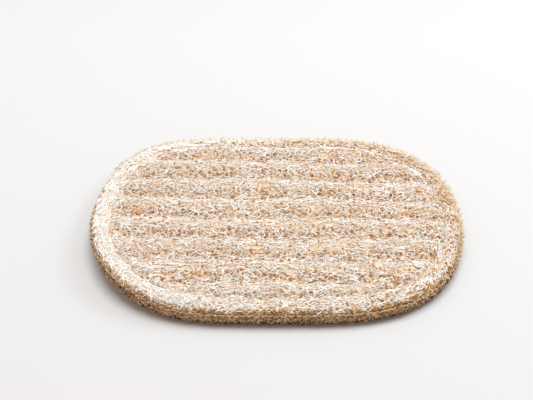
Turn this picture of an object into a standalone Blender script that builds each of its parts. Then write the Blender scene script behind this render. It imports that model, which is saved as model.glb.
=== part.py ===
"""Natural loofah sponge, sewn as a flat scrubbing pad.

A sheet of dried loofah gourd, whose fibre net lies in long ribs, is sewn to a backing of cotton terry.
One thread holds the two layers together round the edge, and a second runs in a valley inside it.
The pad lies on its backing, with its length along X, and its front left corner curls off the table.
All sizes are in metres, with +Z up and the origin under the middle of the pad, where it rests.
"""

import math
import random

import bmesh
import bpy
from mathutils import Vector
from mathutils.geometry import delaunay_2d_cdt
from mathutils.kdtree import KDTree

MM = 0.001

# Overall size
LENGTH = 150 * MM
WIDTH = 111 * MM
SEAM_HEIGHT = 6.2 * MM
LAYER_GAP = 0.3 * MM

# Outline: the valley is a superellipse, and the border stands out from it by an even width.
# Each corner was cut by hand and has its own exponents, along the pad and across it.
BORDER_WIDTH = 7.5 * MM
BACK_RIGHT_SQUARENESS = (4.2, 2.0)
BACK_LEFT_SQUARENESS = (5.2, 2.25)
FRONT_LEFT_SQUARENESS = (3.7, 2.0)
FRONT_RIGHT_SQUARENESS = (3.8, 2.05)
LOOP_POINTS = 150

# Cross section of the loofah face, as heights above the table
BORDER_HEIGHT = 9.2 * MM
BORDER_ROLL = 5.0 * MM
VALLEY_DEPTH = 1.3 * MM
VALLEY_HALF_WIDTH = 1.5 * MM
FACE_HEIGHT = 9.4 * MM
FACE_RISE_WIDTH = 5.0 * MM

# Ribs of the gourd, which run along the pad and flatten out over the border.
# Those of the back half slant a little towards the front at their right end.
RIB_PITCH = 12.8 * MM
RIB_CREST = 5.1 * MM
RIB_RISE = 1.5 * MM
RIB_WANDER = 0.6 * MM
RIB_WANDER_LENGTH = 95 * MM
RIB_WANDER_DRIFT = 0.2
RIB_SLANT = 0.03
RIB_SLANT_START = -25 * MM
RIB_SLANT_WIDTH = 45 * MM
BORDER_RIB_SHARE = 0.25

# Fibre net, raised over the face: strands with sunken meshes between them
MESH_STEP_ALONG = 4.9 * MM
MESH_STEP_ACROSS = 3.1 * MM
MESH_JITTER = 0.12
MESH_LENGTH = 3.9 * MM
MESH_WIDTH = 2.5 * MM
MESH_DEPTH = 1.5 * MM
MESH_CORNERS = 5
MESH_MIN_SIZE = 0.78
MESH_SLANT = 0.35
MESH_ROOM = 0.3 * MM

# Fewer and smaller meshes on the border
BORDER_MESH_INSET = 3.9 * MM
BORDER_MESH_STEP = 4.4 * MM
BORDER_MESH_SIZE = 0.6
BORDER_MESH_DEPTH = 0.8 * MM
BORDER_MESH_SHARE = 0.6

# Edges of the two layers, from the top down. A groove for the seam thread runs between them.
TOP_EDGE_INSET = 2.0 * MM
FACE_EDGE = ((0.7 * MM, 7.9 * MM), (0.0 * MM, 7.5 * MM))
FACE_EDGE_NOTCH = 0.5 * MM
SEAM_GROOVE_DEPTH = 1.7 * MM
BACK_EDGE = ((0.2 * MM, 4.3 * MM), (0.1 * MM, 2.5 * MM), (1.9 * MM, 0.8 * MM))
BACK_TUCK = 4.2 * MM
NOTCH_EVERY = 3

# Plan of the flat faces where the layers meet
SEAM_GRID_ALONG = 12 * MM
SEAM_GRID_ACROSS = 11 * MM
SEAM_GRID_ROOM = 7 * MM

# Terry pile, as coarse nubs, pressed flat where the pad rests
PILE_STEP = 4.4 * MM
PILE_JITTER = 0.12
PILE_HEIGHT = 0.6 * MM
REST_PATCH_LENGTH = 84 * MM
REST_PATCH_WIDTH = 56 * MM
REST_PATCH_FADE = 0.33

# Curl of the front left corner. It starts at a line across the direction that it curls in.
CURL_DIRECTION = (-0.909, -0.417)
CURL_START = 51 * MM
CURL_REACH = 25.4 * MM
CURL_RISE = 6.1 * MM

# Sewing threads
SEAM_THREAD_INSET = 0.5 * MM
SEAM_THREAD_HEIGHT = 6.05 * MM
SEAM_THREAD_RADIUS = 0.5 * MM
SEAM_STITCH = 5.2 * MM
SEAM_SWING = 0.25 * MM
TOP_THREAD_HEIGHT = 9.2 * MM
TOP_THREAD_RADIUS = 0.45 * MM
TOP_STITCH = 4.8 * MM
TOP_SWING = 0.2 * MM

SEED = 7
FINE_POINTS = 4000
TREE_POINTS = 720
SAME_POINT = 1e-7
INSIDE_ONLY = 1


def clear_scene():
    for existing in list(bpy.data.objects):
        bpy.data.objects.remove(existing)


# Outline

def squareness(x, y):
    """The two exponents of the outline's corner that a point lies in."""
    if y > 0:
        return BACK_LEFT_SQUARENESS if x < 0 else BACK_RIGHT_SQUARENESS
    return FRONT_LEFT_SQUARENESS if x < 0 else FRONT_RIGHT_SQUARENESS


def valley_outline(count):
    """Points and outward normals along the valley, evenly spaced, anticlockwise from +X."""
    half_length = LENGTH / 2 - BORDER_WIDTH
    half_width = WIDTH / 2 - BORDER_WIDTH
    dense = []
    for step in range(FINE_POINTS + 1):
        angle = 2 * math.pi * step / FINE_POINTS
        c, s = math.cos(angle), math.sin(angle)
        end, side = squareness(c, s)
        x = half_length * math.copysign(abs(c) ** (2 / end), c)
        y = half_width * math.copysign(abs(s) ** (2 / side), s)
        dense.append(Vector((x, y)))
    run = [0.0]
    for before, after in zip(dense, dense[1:]):
        run.append(run[-1] + (after - before).length)
    points = []
    at = 0
    for index in range(count):
        target = run[-1] * index / count
        while run[at + 1] < target:
            at += 1
        share = (target - run[at]) / (run[at + 1] - run[at])
        points.append(dense[at].lerp(dense[at + 1], share))
    normals = []
    for index, point in enumerate(points):
        along = points[(index + 1) % count] - points[index - 1]
        normals.append(Vector((along.y, -along.x)).normalized())
    return points, normals


def loop_at(inset, count=LOOP_POINTS):
    """The pad's outline, moved in by inset."""
    points, normals = valley_outline(count)
    return [p + n * (BORDER_WIDTH - inset) for p, n in zip(points, normals)]


def loop_length(inset):
    loop = loop_at(inset, TREE_POINTS)
    return sum((after - before).length for before, after in zip(loop, loop[1:] + loop[:1]))


def make_outline_tree():
    """A search tree of the valley, for distances from it."""
    points, _ = valley_outline(TREE_POINTS)
    tree = KDTree(len(points))
    for index, point in enumerate(points):
        tree.insert(point.to_3d(), index)
    tree.balance()
    return tree


def inset_of(x, y, tree):
    """How far a point lies inside the pad's outline."""
    _, _, distance = tree.find(Vector((x, y, 0)))
    end, side = squareness(x, y)
    along = abs(x / (LENGTH / 2 - BORDER_WIDTH)) ** end
    across = abs(y / (WIDTH / 2 - BORDER_WIDTH)) ** side
    inside = along + across < 1
    return BORDER_WIDTH + (distance if inside else -distance)


# Heights

def smooth(share):
    share = min(max(share, 0.0), 1.0)
    return share * share * (3 - 2 * share)


def curl(x, y):
    """Rise of the pad's front left corner off the table."""
    along = x * CURL_DIRECTION[0] + y * CURL_DIRECTION[1]
    share = max(0.0, (along - CURL_START) / CURL_REACH)
    return CURL_RISE * share * share


def rib(x, y):
    """Height of the gourd's ribs over the valleys between them."""
    turns = x / RIB_WANDER_LENGTH + RIB_WANDER_DRIFT * y / RIB_PITCH
    wander = RIB_WANDER * math.sin(2 * math.pi * turns)
    slant = RIB_SLANT * x * smooth((y - RIB_SLANT_START) / RIB_SLANT_WIDTH)
    across = y + slant - wander - RIB_CREST
    return RIB_RISE * (0.5 + 0.5 * math.cos(2 * math.pi * across / RIB_PITCH))


def face_height(x, y, inset):
    """Height of the loofah face's strands, from its rolled edge to its middle."""
    roll = min(inset / BORDER_ROLL, 1.0)
    border = SEAM_HEIGHT + (BORDER_HEIGHT - SEAM_HEIGHT) * math.sqrt(1 - (1 - roll) ** 2)
    inner = smooth((inset - BORDER_WIDTH) / FACE_RISE_WIDTH)
    rib_share = BORDER_RIB_SHARE * roll + (1 - BORDER_RIB_SHARE) * inner
    valley = smooth(1 - abs(inset - BORDER_WIDTH) / VALLEY_HALF_WIDTH)
    raised = (FACE_HEIGHT - BORDER_HEIGHT) * inner + rib(x, y) * rib_share
    return border + raised - VALLEY_DEPTH * valley + curl(x, y)


def pile_height(x, y):
    """Height of the terry's low points over the table: nothing on the patch that it rests on."""
    from_middle = math.hypot(x / (REST_PATCH_LENGTH / 2), y / (REST_PATCH_WIDTH / 2))
    return PILE_HEIGHT * min(max(0.0, (from_middle - 1) / REST_PATCH_FADE), 1.0)


# Flat nets of points

def lattice(step_along, step_across, jitter, keep, rng):
    """Points in rows, each row half a step along from the last, that pass keep."""
    half_rows = math.ceil(WIDTH / 2 / step_across)
    half_columns = math.ceil(LENGTH / 2 / step_along)
    found = []
    for row in range(-half_rows, half_rows + 1):
        for column in range(-half_columns, half_columns + 1):
            x = (column + 0.5 * (row % 2)) * step_along
            y = row * step_across
            x += rng.uniform(-jitter, jitter) * step_along
            y += rng.uniform(-jitter, jitter) * step_across
            if keep(x, y):
                found.append(Vector((x, y)))
    return found


def mesh_rim(centre, scale, rng):
    """The corners of one open mesh of the net, a lopsided loop of strands longer along the pad."""
    turn = rng.uniform(0, 2 * math.pi)
    slant = rng.uniform(-MESH_SLANT, MESH_SLANT)
    rim = []
    for corner in range(MESH_CORNERS):
        angle = turn + 2 * math.pi * corner / MESH_CORNERS
        size = scale * rng.uniform(MESH_MIN_SIZE, 1.0)
        x = size * MESH_LENGTH / 2 * math.cos(angle)
        y = size * MESH_WIDTH / 2 * math.sin(angle)
        rim.append(centre + Vector((x - y * slant, y + x * slant / 2)))
    return rim


def triangulate(loops, inner):
    """Joins closed loops and the loose points inside them into triangles. Returns points and faces."""
    points = [Vector(p) for loop in loops for p in loop] + [Vector(p) for p in inner]
    edges = []
    start = 0
    for loop in loops:
        count = len(loop)
        edges += [(start + i, start + (i + 1) % count) for i in range(count)]
        start += count
    outline = list(range(len(loops[0])))
    made, _, faces, _, _, _ = delaunay_2d_cdt(points, edges, [outline], INSIDE_ONLY, SAME_POINT)
    if len(made) != len(points):
        raise ValueError("two strands of a net cross or fall together")
    return points, [list(face) for face in faces]


def seam_sheet():
    """The plan of the flat faces where the two layers meet, which both layers share."""
    tree = make_outline_tree()

    def keep(x, y):
        return inset_of(x, y, tree) > SEAM_GROOVE_DEPTH + SEAM_GRID_ROOM

    inner = lattice(SEAM_GRID_ALONG, SEAM_GRID_ACROSS, 0.0, keep, random.Random(SEED))
    return triangulate([loop_at(SEAM_GROOVE_DEPTH)], inner)


# Meshes

def make_object(name, build, material):
    mesh = bpy.data.meshes.new(name)
    bmesh.ops.recalc_face_normals(build, faces=build.faces)
    build.to_mesh(mesh)
    build.free()
    mesh.materials.append(material)
    piece = bpy.data.objects.new(name, mesh)
    bpy.context.scene.collection.objects.link(piece)
    return piece


def make_material(name, colour, roughness):
    material = bpy.data.materials.new(name)
    material.use_nodes = True
    shader = material.node_tree.nodes["Principled BSDF"]
    shader.inputs["Base Color"].default_value = (*colour, 1)
    shader.inputs["Roughness"].default_value = roughness
    shader.inputs["Metallic"].default_value = 0
    return material


def add_sheet(build, points, faces, height):
    """Adds a net of plan points to the mesh at the heights given by height(index, x, y)."""
    verts = [build.verts.new((p.x, p.y, height(i, p.x, p.y))) for i, p in enumerate(points)]
    for face in faces:
        build.faces.new([verts[i] for i in face])
    return verts


def add_ring(build, inset, level, notch, first):
    """Adds a ring of verts along the outline, where every third one is moved in by notch."""
    points, normals = valley_outline(LOOP_POINTS)
    ring = []
    for i, (point, normal) in enumerate(zip(points, normals)):
        moved = notch if (i + first) % NOTCH_EVERY == 0 else 0
        place = point + normal * (BORDER_WIDTH - inset - moved)
        ring.append(build.verts.new((place.x, place.y, level + curl(place.x, place.y))))
    return ring


def join_rings(build, lower, upper):
    """Fills between two rings with triangles, all split the same way."""
    count = len(lower)
    for i in range(count):
        after = (i + 1) % count
        build.faces.new((lower[i], lower[after], upper[after]))
        build.faces.new((lower[i], upper[after], upper[i]))


def add_layer(build, top, side_rings, bottom):
    """Closes a layer's side from the rim of its top, by way of the side rings, to the rim of its bottom."""
    rings = [top[:LOOP_POINTS], *side_rings, bottom[:LOOP_POINTS]]
    for upper, lower in zip(rings, rings[1:]):
        join_rings(build, lower, upper)


def make_loofah_face(material):
    rng = random.Random(SEED)
    tree = make_outline_tree()
    loops = [
        loop_at(TOP_EDGE_INSET),
        loop_at(BORDER_WIDTH - VALLEY_HALF_WIDTH),
        loop_at(BORDER_WIDTH),
        loop_at(BORDER_WIDTH + VALLEY_HALF_WIDTH),
    ]
    room = MESH_LENGTH / 2 + MESH_ROOM

    def keep(x, y):
        return inset_of(x, y, tree) > BORDER_WIDTH + VALLEY_HALF_WIDTH + room

    meshes = lattice(MESH_STEP_ALONG, MESH_STEP_ACROSS, MESH_JITTER, keep, rng)
    rims = [mesh_rim(centre, 1.0, rng) for centre in meshes]
    places = round(loop_length(BORDER_MESH_INSET) / BORDER_MESH_STEP)
    border_meshes = [p for p in loop_at(BORDER_MESH_INSET, places) if rng.random() < BORDER_MESH_SHARE]
    rims += [mesh_rim(centre, BORDER_MESH_SIZE, rng) for centre in border_meshes]
    points, faces = triangulate(loops + rims, meshes + border_meshes)
    first_border = len(points) - len(border_meshes)
    first_inner = first_border - len(meshes)

    def height(index, x, y):
        sunk = 0
        if index >= first_border:
            sunk = BORDER_MESH_DEPTH
        elif index >= first_inner:
            sunk = MESH_DEPTH
        return face_height(x, y, inset_of(x, y, tree)) - sunk

    build = bmesh.new()
    top = add_sheet(build, points, faces, height)
    side_rings = [
        add_ring(build, inset, level, FACE_EDGE_NOTCH, first)
        for first, (inset, level) in enumerate(FACE_EDGE)
    ]
    plan, seam_faces = seam_sheet()
    bottom = add_sheet(build, plan, seam_faces, lambda index, x, y: SEAM_HEIGHT + curl(x, y))
    add_layer(build, top, side_rings, bottom)
    return make_object("loofah_face", build, material)


def make_terry_back(material):
    rng = random.Random(SEED + 1)
    tree = make_outline_tree()
    build = bmesh.new()
    plan, seam_faces = seam_sheet()
    top = add_sheet(build, plan, seam_faces, lambda index, x, y: SEAM_HEIGHT - LAYER_GAP + curl(x, y))
    side_rings = [
        add_ring(build, inset, level, -PILE_HEIGHT if first else 0, first)
        for first, (inset, level) in enumerate(BACK_EDGE)
    ]

    def keep(x, y):
        return inset_of(x, y, tree) > BACK_TUCK + PILE_STEP / 2

    row_step = PILE_STEP * math.sin(math.pi / 3)
    inner = lattice(PILE_STEP, row_step, PILE_JITTER, keep, rng)
    points, faces = triangulate([loop_at(BACK_TUCK)], inner)

    def height(index, x, y):
        tip = index >= LOOP_POINTS and index % NOTCH_EVERY == 0
        return (0 if tip else pile_height(x, y)) + curl(x, y)

    bottom = add_sheet(build, points, faces, height)
    add_layer(build, top, side_rings, bottom)
    return make_object("terry_back", build, material)


def make_thread(name, inset, level, radius, stitch, swing, material):
    """One closed thread along the outline, which rises and dips once in each stitch."""
    count = 2 * round(loop_length(inset) / stitch)
    curve = bpy.data.curves.new(name, "CURVE")
    curve.dimensions = "3D"
    curve.bevel_depth = radius
    curve.bevel_resolution = 0
    spline = curve.splines.new("POLY")
    spline.points.add(count - 1)
    for i, place in enumerate(loop_at(inset, count)):
        z = level + curl(place.x, place.y) + (swing if i % 2 else -swing)
        spline.points[i].co = (place.x, place.y, z, 1)
    spline.use_cyclic_u = True
    curve.materials.append(material)
    thread = bpy.data.objects.new(name, curve)
    bpy.context.scene.collection.objects.link(thread)
    return thread


def main():
    clear_scene()
    loofah = make_material("loofah fibre", (0.80, 0.68, 0.52), 0.7)
    terry = make_material("terry cotton", (0.62, 0.50, 0.36), 0.9)
    cotton = make_material("sewing thread", (0.84, 0.76, 0.62), 0.6)
    make_loofah_face(loofah)
    make_terry_back(terry)
    make_thread("seam_thread", SEAM_THREAD_INSET, SEAM_THREAD_HEIGHT, SEAM_THREAD_RADIUS,
                SEAM_STITCH, SEAM_SWING, cotton)
    make_thread("top_thread", BORDER_WIDTH, TOP_THREAD_HEIGHT, TOP_THREAD_RADIUS,
                TOP_STITCH, TOP_SWING, cotton)


main()
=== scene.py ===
# %% [markdown]
# # A loofah scrubbing pad
#
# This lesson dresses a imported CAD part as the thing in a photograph: a flat oval pad for washing. A sheet of
# dried loofah gourd lies on top. It is sewn to a backing of looped terry cloth, with one line of stitches round
# the edge and a second line a little further in. The CAD part gives the sizes, and the fibres, yarn and thread
# are made here.

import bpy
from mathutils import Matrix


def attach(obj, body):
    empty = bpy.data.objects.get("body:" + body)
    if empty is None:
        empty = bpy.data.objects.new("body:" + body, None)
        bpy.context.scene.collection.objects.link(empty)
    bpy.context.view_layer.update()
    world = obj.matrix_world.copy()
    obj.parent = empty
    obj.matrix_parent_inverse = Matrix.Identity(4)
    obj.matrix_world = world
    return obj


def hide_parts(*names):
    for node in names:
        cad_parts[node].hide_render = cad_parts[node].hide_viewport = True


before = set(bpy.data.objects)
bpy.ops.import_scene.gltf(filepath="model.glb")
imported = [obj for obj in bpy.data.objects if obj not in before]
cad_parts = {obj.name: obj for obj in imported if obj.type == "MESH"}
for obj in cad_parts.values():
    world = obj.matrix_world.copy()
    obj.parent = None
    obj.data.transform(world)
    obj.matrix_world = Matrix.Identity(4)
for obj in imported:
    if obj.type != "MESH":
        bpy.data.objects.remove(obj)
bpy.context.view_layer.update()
print("nodes:", sorted(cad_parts))

# %% Bring in what the lesson needs
import math
import random

import bmesh
import bpy
from mathutils import Vector, noise
from mathutils.geometry import delaunay_2d_cdt
from mathutils.kdtree import KDTree

MM = 0.001

# %% [markdown]
# ## The camera and the light
#
# On the real object the camera stands about 45 cm away and looks down at 40 degrees, along the short side of
# the pad. A fitted camera beats one set by eye, because each later piece is then judged on its own place. The
# pad lies a little off the middle of the picture, so the lens is shifted by a small amount.

# %% Set up the camera
CAMERA_DISTANCE = 0.4528
CAMERA_ELEVATION = math.radians(40)
PICTURE_WIDTH = 533
PICTURE_HEIGHT = 400
FOCAL_PIXELS = 1100
PAD_CENTRE_PIXEL = (276.7, 233.1)
SENSOR_WIDTH = 36


def stand_back(thing, towards, distance):
    """Puts a camera or a light that way from the pad, and turns it to look back."""
    bpy.context.scene.collection.objects.link(thing)
    thing.location = towards * distance
    thing.rotation_mode = "QUATERNION"
    thing.rotation_quaternion = (-towards).to_track_quat("-Z", "Y")


def make_camera():
    lens = bpy.data.cameras.new("camera")
    lens.sensor_width = SENSOR_WIDTH
    lens.lens = FOCAL_PIXELS / PICTURE_WIDTH * SENSOR_WIDTH
    lens.shift_x = (PICTURE_WIDTH / 2 - PAD_CENTRE_PIXEL[0]) / PICTURE_WIDTH
    lens.shift_y = (PAD_CENTRE_PIXEL[1] - PICTURE_HEIGHT / 2) / PICTURE_WIDTH
    lens.clip_start = 0.01
    lens.clip_end = 20
    camera = bpy.data.objects.new("camera", lens)
    back = Vector((0, -math.cos(CAMERA_ELEVATION), math.sin(CAMERA_ELEVATION)))
    stand_back(camera, back, CAMERA_DISTANCE)
    bpy.context.scene.camera = camera
    return camera


camera = make_camera()
print("lens of", round(camera.data.lens, 1), "mm")

# %% [markdown]
# The photograph has the soft light of a white studio. A wide light hangs almost overhead, so that the pad hardly
# darkens the table in front of it. A second light from the right lays the faint shadow on the left. The lamps are
# cool and the world that fills the rest is warm, so the table stays white and only the shadow is tinted.

# %% Light the room
LIGHTS = (
    # name, turn and elevation in degrees, distance, size, power
    ("side", 14, 46, 0.95, 0.4, 2.1),
    ("top", -20, 87, 1.2, 0.8, 12.2),
)
LAMP_COLOUR = (0.965, 1.075, 1.125)
FILL_COLOUR = (1.0, 0.81, 0.715, 1)
FILL_STRENGTH = 0.62
FILL_TOWARDS = (-0.15, -0.35, 0.92)
FILL_RANGE = (0.76, 1.18)


def make_light(name, turn, elevation, distance, size, power):
    lamp = bpy.data.lights.new(name, "AREA")
    lamp.shape = "DISK"
    lamp.size = size
    lamp.energy = power
    lamp.color = LAMP_COLOUR
    turn, elevation = math.radians(turn), math.radians(elevation)
    flat = math.cos(elevation)
    towards = Vector((flat * math.cos(turn), flat * math.sin(turn), math.sin(elevation)))
    stand_back(bpy.data.objects.new(name, lamp), towards, distance)


def put(tree, kind, wires=None, **settings):
    """Adds a node. Wires maps an input's name or number to a value or to another node's output."""
    node = tree.nodes.new(kind)
    for name, value in settings.items():
        setattr(node, name, value)
    for name, value in (wires or {}).items():
        if isinstance(value, bpy.types.NodeSocket):
            tree.links.new(value, node.inputs[name])
        else:
            node.inputs[name].default_value = value
    return node


def make_world():
    world = bpy.data.worlds.new("white_room")
    world.use_nodes = True
    tree = world.node_tree
    way = put(tree, "ShaderNodeTexCoord").outputs["Generated"]
    facing = put(tree, "ShaderNodeVectorMath", {0: way, 1: FILL_TOWARDS}, operation="DOT_PRODUCT")
    low, high = (FILL_STRENGTH * share for share in FILL_RANGE)
    wires = {"Value": facing.outputs["Value"], "From Min": -1.0, "From Max": 1.0,
             "To Min": low, "To Max": high}
    strength = put(tree, "ShaderNodeMapRange", wires).outputs["Result"]
    sky = tree.nodes["Background"]
    sky.inputs["Color"].default_value = FILL_COLOUR
    tree.links.new(strength, sky.inputs["Strength"])
    return world


for light in LIGHTS:
    make_light(*light)
bpy.context.scene.world = make_world()
bpy.context.scene.view_settings.view_transform = "Standard"
print("two lights and a white room")

# %% [markdown]
# ## Helpers for materials
#
# Several finishes share the same small effects, so each effect is a node group, built once. A group puts out
# colours and values only. The shader itself stays in each material.

# %% Helpers for node trees
def calc(tree, operation, *values):
    return put(tree, "ShaderNodeMath", dict(enumerate(values)), operation=operation).outputs[0]


def times(tree, one, other):
    return calc(tree, "MULTIPLY", one, other)


def plus(tree, one, other):
    return calc(tree, "ADD", one, other)


def calc_vector(tree, operation, *values):
    node = put(tree, "ShaderNodeVectorMath", dict(enumerate(values)), operation=operation)
    return node.outputs["Value" if operation in ("DOT_PRODUCT", "LENGTH") else "Vector"]


def scaled(tree, vector, amount):
    return put(tree, "ShaderNodeVectorMath", {0: vector, "Scale": amount}, operation="SCALE").outputs[0]


def combine(tree, x, y, z):
    return put(tree, "ShaderNodeCombineXYZ", {0: x, 1: y, 2: z}).outputs[0]


def one_axis(tree, vector, axis):
    return put(tree, "ShaderNodeSeparateXYZ", {0: vector}).outputs[axis]


def spread(tree, value, low, high, to_low=0.0, to_high=1.0):
    """Maps a value from low..high to to_low..to_high, and stops at both ends."""
    wires = {"Value": value, "From Min": low, "From Max": high, "To Min": to_low, "To Max": to_high}
    return put(tree, "ShaderNodeMapRange", wires).outputs["Result"]


def blend_colours(tree, share, first, second):
    return put(tree, "ShaderNodeMix", {0: share, 6: first, 7: second}, data_type="RGBA").outputs[2]


def own_place(tree):
    return put(tree, "ShaderNodeTexCoord").outputs["Object"]


def clouds(tree, place, scale, detail):
    return put(tree, "ShaderNodeTexNoise", {"Vector": place, "Scale": scale, "Detail": detail})


def shaded(tree, colour, amount):
    wires = {"Color": colour, "Value": amount}
    return put(tree, "ShaderNodeHueSaturation", wires).outputs["Color"]


def new_group(name, colours, numbers, results):
    """A shader node group that takes colours and numbers. Its results are numbers too, except Color."""
    tree = bpy.data.node_groups.new(name, "ShaderNodeTree")
    sockets = [(label, "INPUT", label in colours) for label in (*colours, *numbers)]
    sockets += [(label, "OUTPUT", label == "Color") for label in results]
    for label, side, coloured in sockets:
        kind = "NodeSocketColor" if coloured else "NodeSocketFloat"
        tree.interface.new_socket(label, in_out=side, socket_type=kind)
    return tree, tree.nodes.new("NodeGroupInput").outputs, tree.nodes.new("NodeGroupOutput").inputs


def attribute(tree, name):
    return put(tree, "ShaderNodeAttribute", attribute_name=name).outputs["Fac"]


def new_material(name, roughness, specular):
    """A material with its tree and shader."""
    material = bpy.data.materials.new(name)
    material.use_nodes = True
    shader = material.node_tree.nodes["Principled BSDF"]
    shader.inputs["Roughness"].default_value = roughness
    shader.inputs["Specular IOR Level"].default_value = specular
    return material, material.node_tree, shader


def paint(tree, shader, colour, strength, depth, height):
    """Gives a shader its colour and its fine relief."""
    bump = put(tree, "ShaderNodeBump", {"Strength": strength, "Distance": depth, "Height": height})
    tree.links.new(colour, shader.inputs["Base Color"])
    tree.links.new(bump.outputs["Normal"], shader.inputs["Normal"])


print("helpers ready")

# %% [markdown]
# ### Dry plant fibre
#
# A loofah's fibres are cream on the outside and honey brown where light has passed through several of them. The
# group mixes a cream, a honey and a brown stain. Each fibre carries its own tone as an attribute, so that no two
# neighbours match. The sewn border has painted light and painted shade: it is painted paler at the left end,
# where the curled corner faces the light, and painted browner as shade behind and at the right. Small
# orange-brown flecks
# are painted shade: they stand for the shaded gaps that are too fine to build. They could be drawn on each layer
# by itself, but one flat pattern that every layer shares shows the same fleck through all of them, as a real gap
# would.

# %% Make the plant fibre group
PATCH_SCALE, PATCH_RANGE = 140.0, (0.5, 0.75)
GRAIN_SCALE, GRAIN_RANGE = 2600.0, (0.93, 1.04)
HONEY_POWER = 2.2
# Painted shade: the border behind and at the right is made browner.
BROWNER_WAY, BROWN_FROM = (1.0, 1.1, 0.0), (0.035, 0.085)
BROWN_BAND, BROWN_MOST = (0.0095, 0.004), 0.42
# Painted light: the border at the left end, where the curled corner faces the light, is made paler.
PALER_WAY, PALE_FROM = (-1.0, -0.2, 0.0), (0.0, 0.06)
PALE_BAND, PALE_MOST = (0.014, 0.003), 0.72
# Painted shade: orange-brown flecks stand for the shaded gaps that are too fine to build.
FLECK_SCALE, FLECK_STRETCH = 780.0, (0.68, 1.0, 1.0)
FLECK_WOBBLE, FLECK_WOBBLE_SCALE = 0.0015, 1100.0
FLECK_REACH, FLECK_EDGE = (0.03, 0.36), 0.10
FLECK_IN_SHADE = 0.15
FLECK_LOST_IN_PALE = 0.8
MIDDLE_GREY = (0.5, 0.5, 0.5)


def one_side(tree, place, way, start, inset, band, most):
    """How far a point lies in the border, on the side of the pad that a way points to."""
    aside = calc_vector(tree, "DOT_PRODUCT", place, way)
    return times(tree, spread(tree, inset, *band, 0.0, most), spread(tree, aside, *start))


# Painted shade of fine gaps, spread wider where the Shade attribute is high: in creases and on slopes facing the
# front.
def make_fleck(tree, place, given, border):
    wobble = clouds(tree, place, FLECK_WOBBLE_SCALE, 1.0).outputs["Color"]
    wobble = scaled(tree, calc_vector(tree, "SUBTRACT", wobble, MIDDLE_GREY), FLECK_WOBBLE)
    columns = calc_vector(tree, "MULTIPLY", calc_vector(tree, "ADD", place, wobble), FLECK_STRETCH)
    cells = put(tree, "ShaderNodeTexVoronoi", {"Vector": columns, "Scale": FLECK_SCALE}, feature="F1",
                voronoi_dimensions="2D")
    chance = one_axis(tree, cells.outputs["Color"], 0)
    reach = spread(tree, chance, 0.05, 1.0, *FLECK_REACH)
    reach = plus(tree, reach, times(tree, given["Shade"], FLECK_IN_SHADE))
    fleck = spread(tree, cells.outputs["Distance"], reach, calc(tree, "SUBTRACT", reach, FLECK_EDGE))
    left = calc(tree, "SUBTRACT", 1.0, times(tree, border, FLECK_LOST_IN_PALE))
    return times(tree, times(tree, fleck, given["Fleck Amount"]), left)


def make_fibre_group():
    colours = ("Cream", "Honey", "Stain", "Lit Pale", "Fleck")
    numbers = ("Tone", "Inset", "Shade", "Stain Amount", "Fleck Amount")
    tree, given, result = new_group("plant_fibre", colours, numbers, ("Color", "Height", "Lit Border"))
    place = own_place(tree)
    patches = clouds(tree, place, PATCH_SCALE, 2.0).outputs["Fac"]
    grain = clouds(tree, place, GRAIN_SCALE, 2.0).outputs["Fac"]
    honeyed = calc(tree, "POWER", given["Tone"], HONEY_POWER)
    colour = blend_colours(tree, honeyed, given["Cream"], given["Honey"])
    stained = times(tree, spread(tree, patches, *PATCH_RANGE), given["Stain Amount"])
    # painted shade that browns the border behind and at the right, mixed with the real stain patches
    wear_and_shade = one_side(tree, place, BROWNER_WAY, BROWN_FROM, given["Inset"], BROWN_BAND, BROWN_MOST)
    colour = blend_colours(tree, calc(tree, "MAXIMUM", stained, wear_and_shade), colour, given["Stain"])
    # painted light that makes the border at the left end paler
    border = one_side(tree, place, PALER_WAY, PALE_FROM, given["Inset"], PALE_BAND, PALE_MOST)
    colour = blend_colours(tree, border, colour, given["Lit Pale"])
    colour = blend_colours(tree, make_fleck(tree, place, given, border), colour, given["Fleck"])
    colour = shaded(tree, colour, spread(tree, grain, 0.3, 0.7, *GRAIN_RANGE))
    for label, value in (("Color", colour), ("Height", grain), ("Lit Border", border)):
        tree.links.new(value, result[label])
    return tree


fibre_group = make_fibre_group()
STAIN = (0.56, 0.34, 0.16)
# Colours of the painted gap shade. The bed's are deeper.
FLECK = (0.62, 0.30, 0.045)
DEEP_FLECK = (0.46, 0.18, 0.018)
# The colour of the painted light on the left border.
LIT_PALE = (0.96, 0.925, 0.88)
# Painted shade: brown lines between the felt's fibres, which the bump also sinks.
FELT_SHADE_BROWN, FELT_SHARE = (0.50, 0.31, 0.15), 0.5
FELT_SCALE, FELT_LINE = 1150.0, (0.03, 0.22)
FIBRE_RELIEF, FELT_RELIEF = 0.00005, 0.0002


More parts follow.
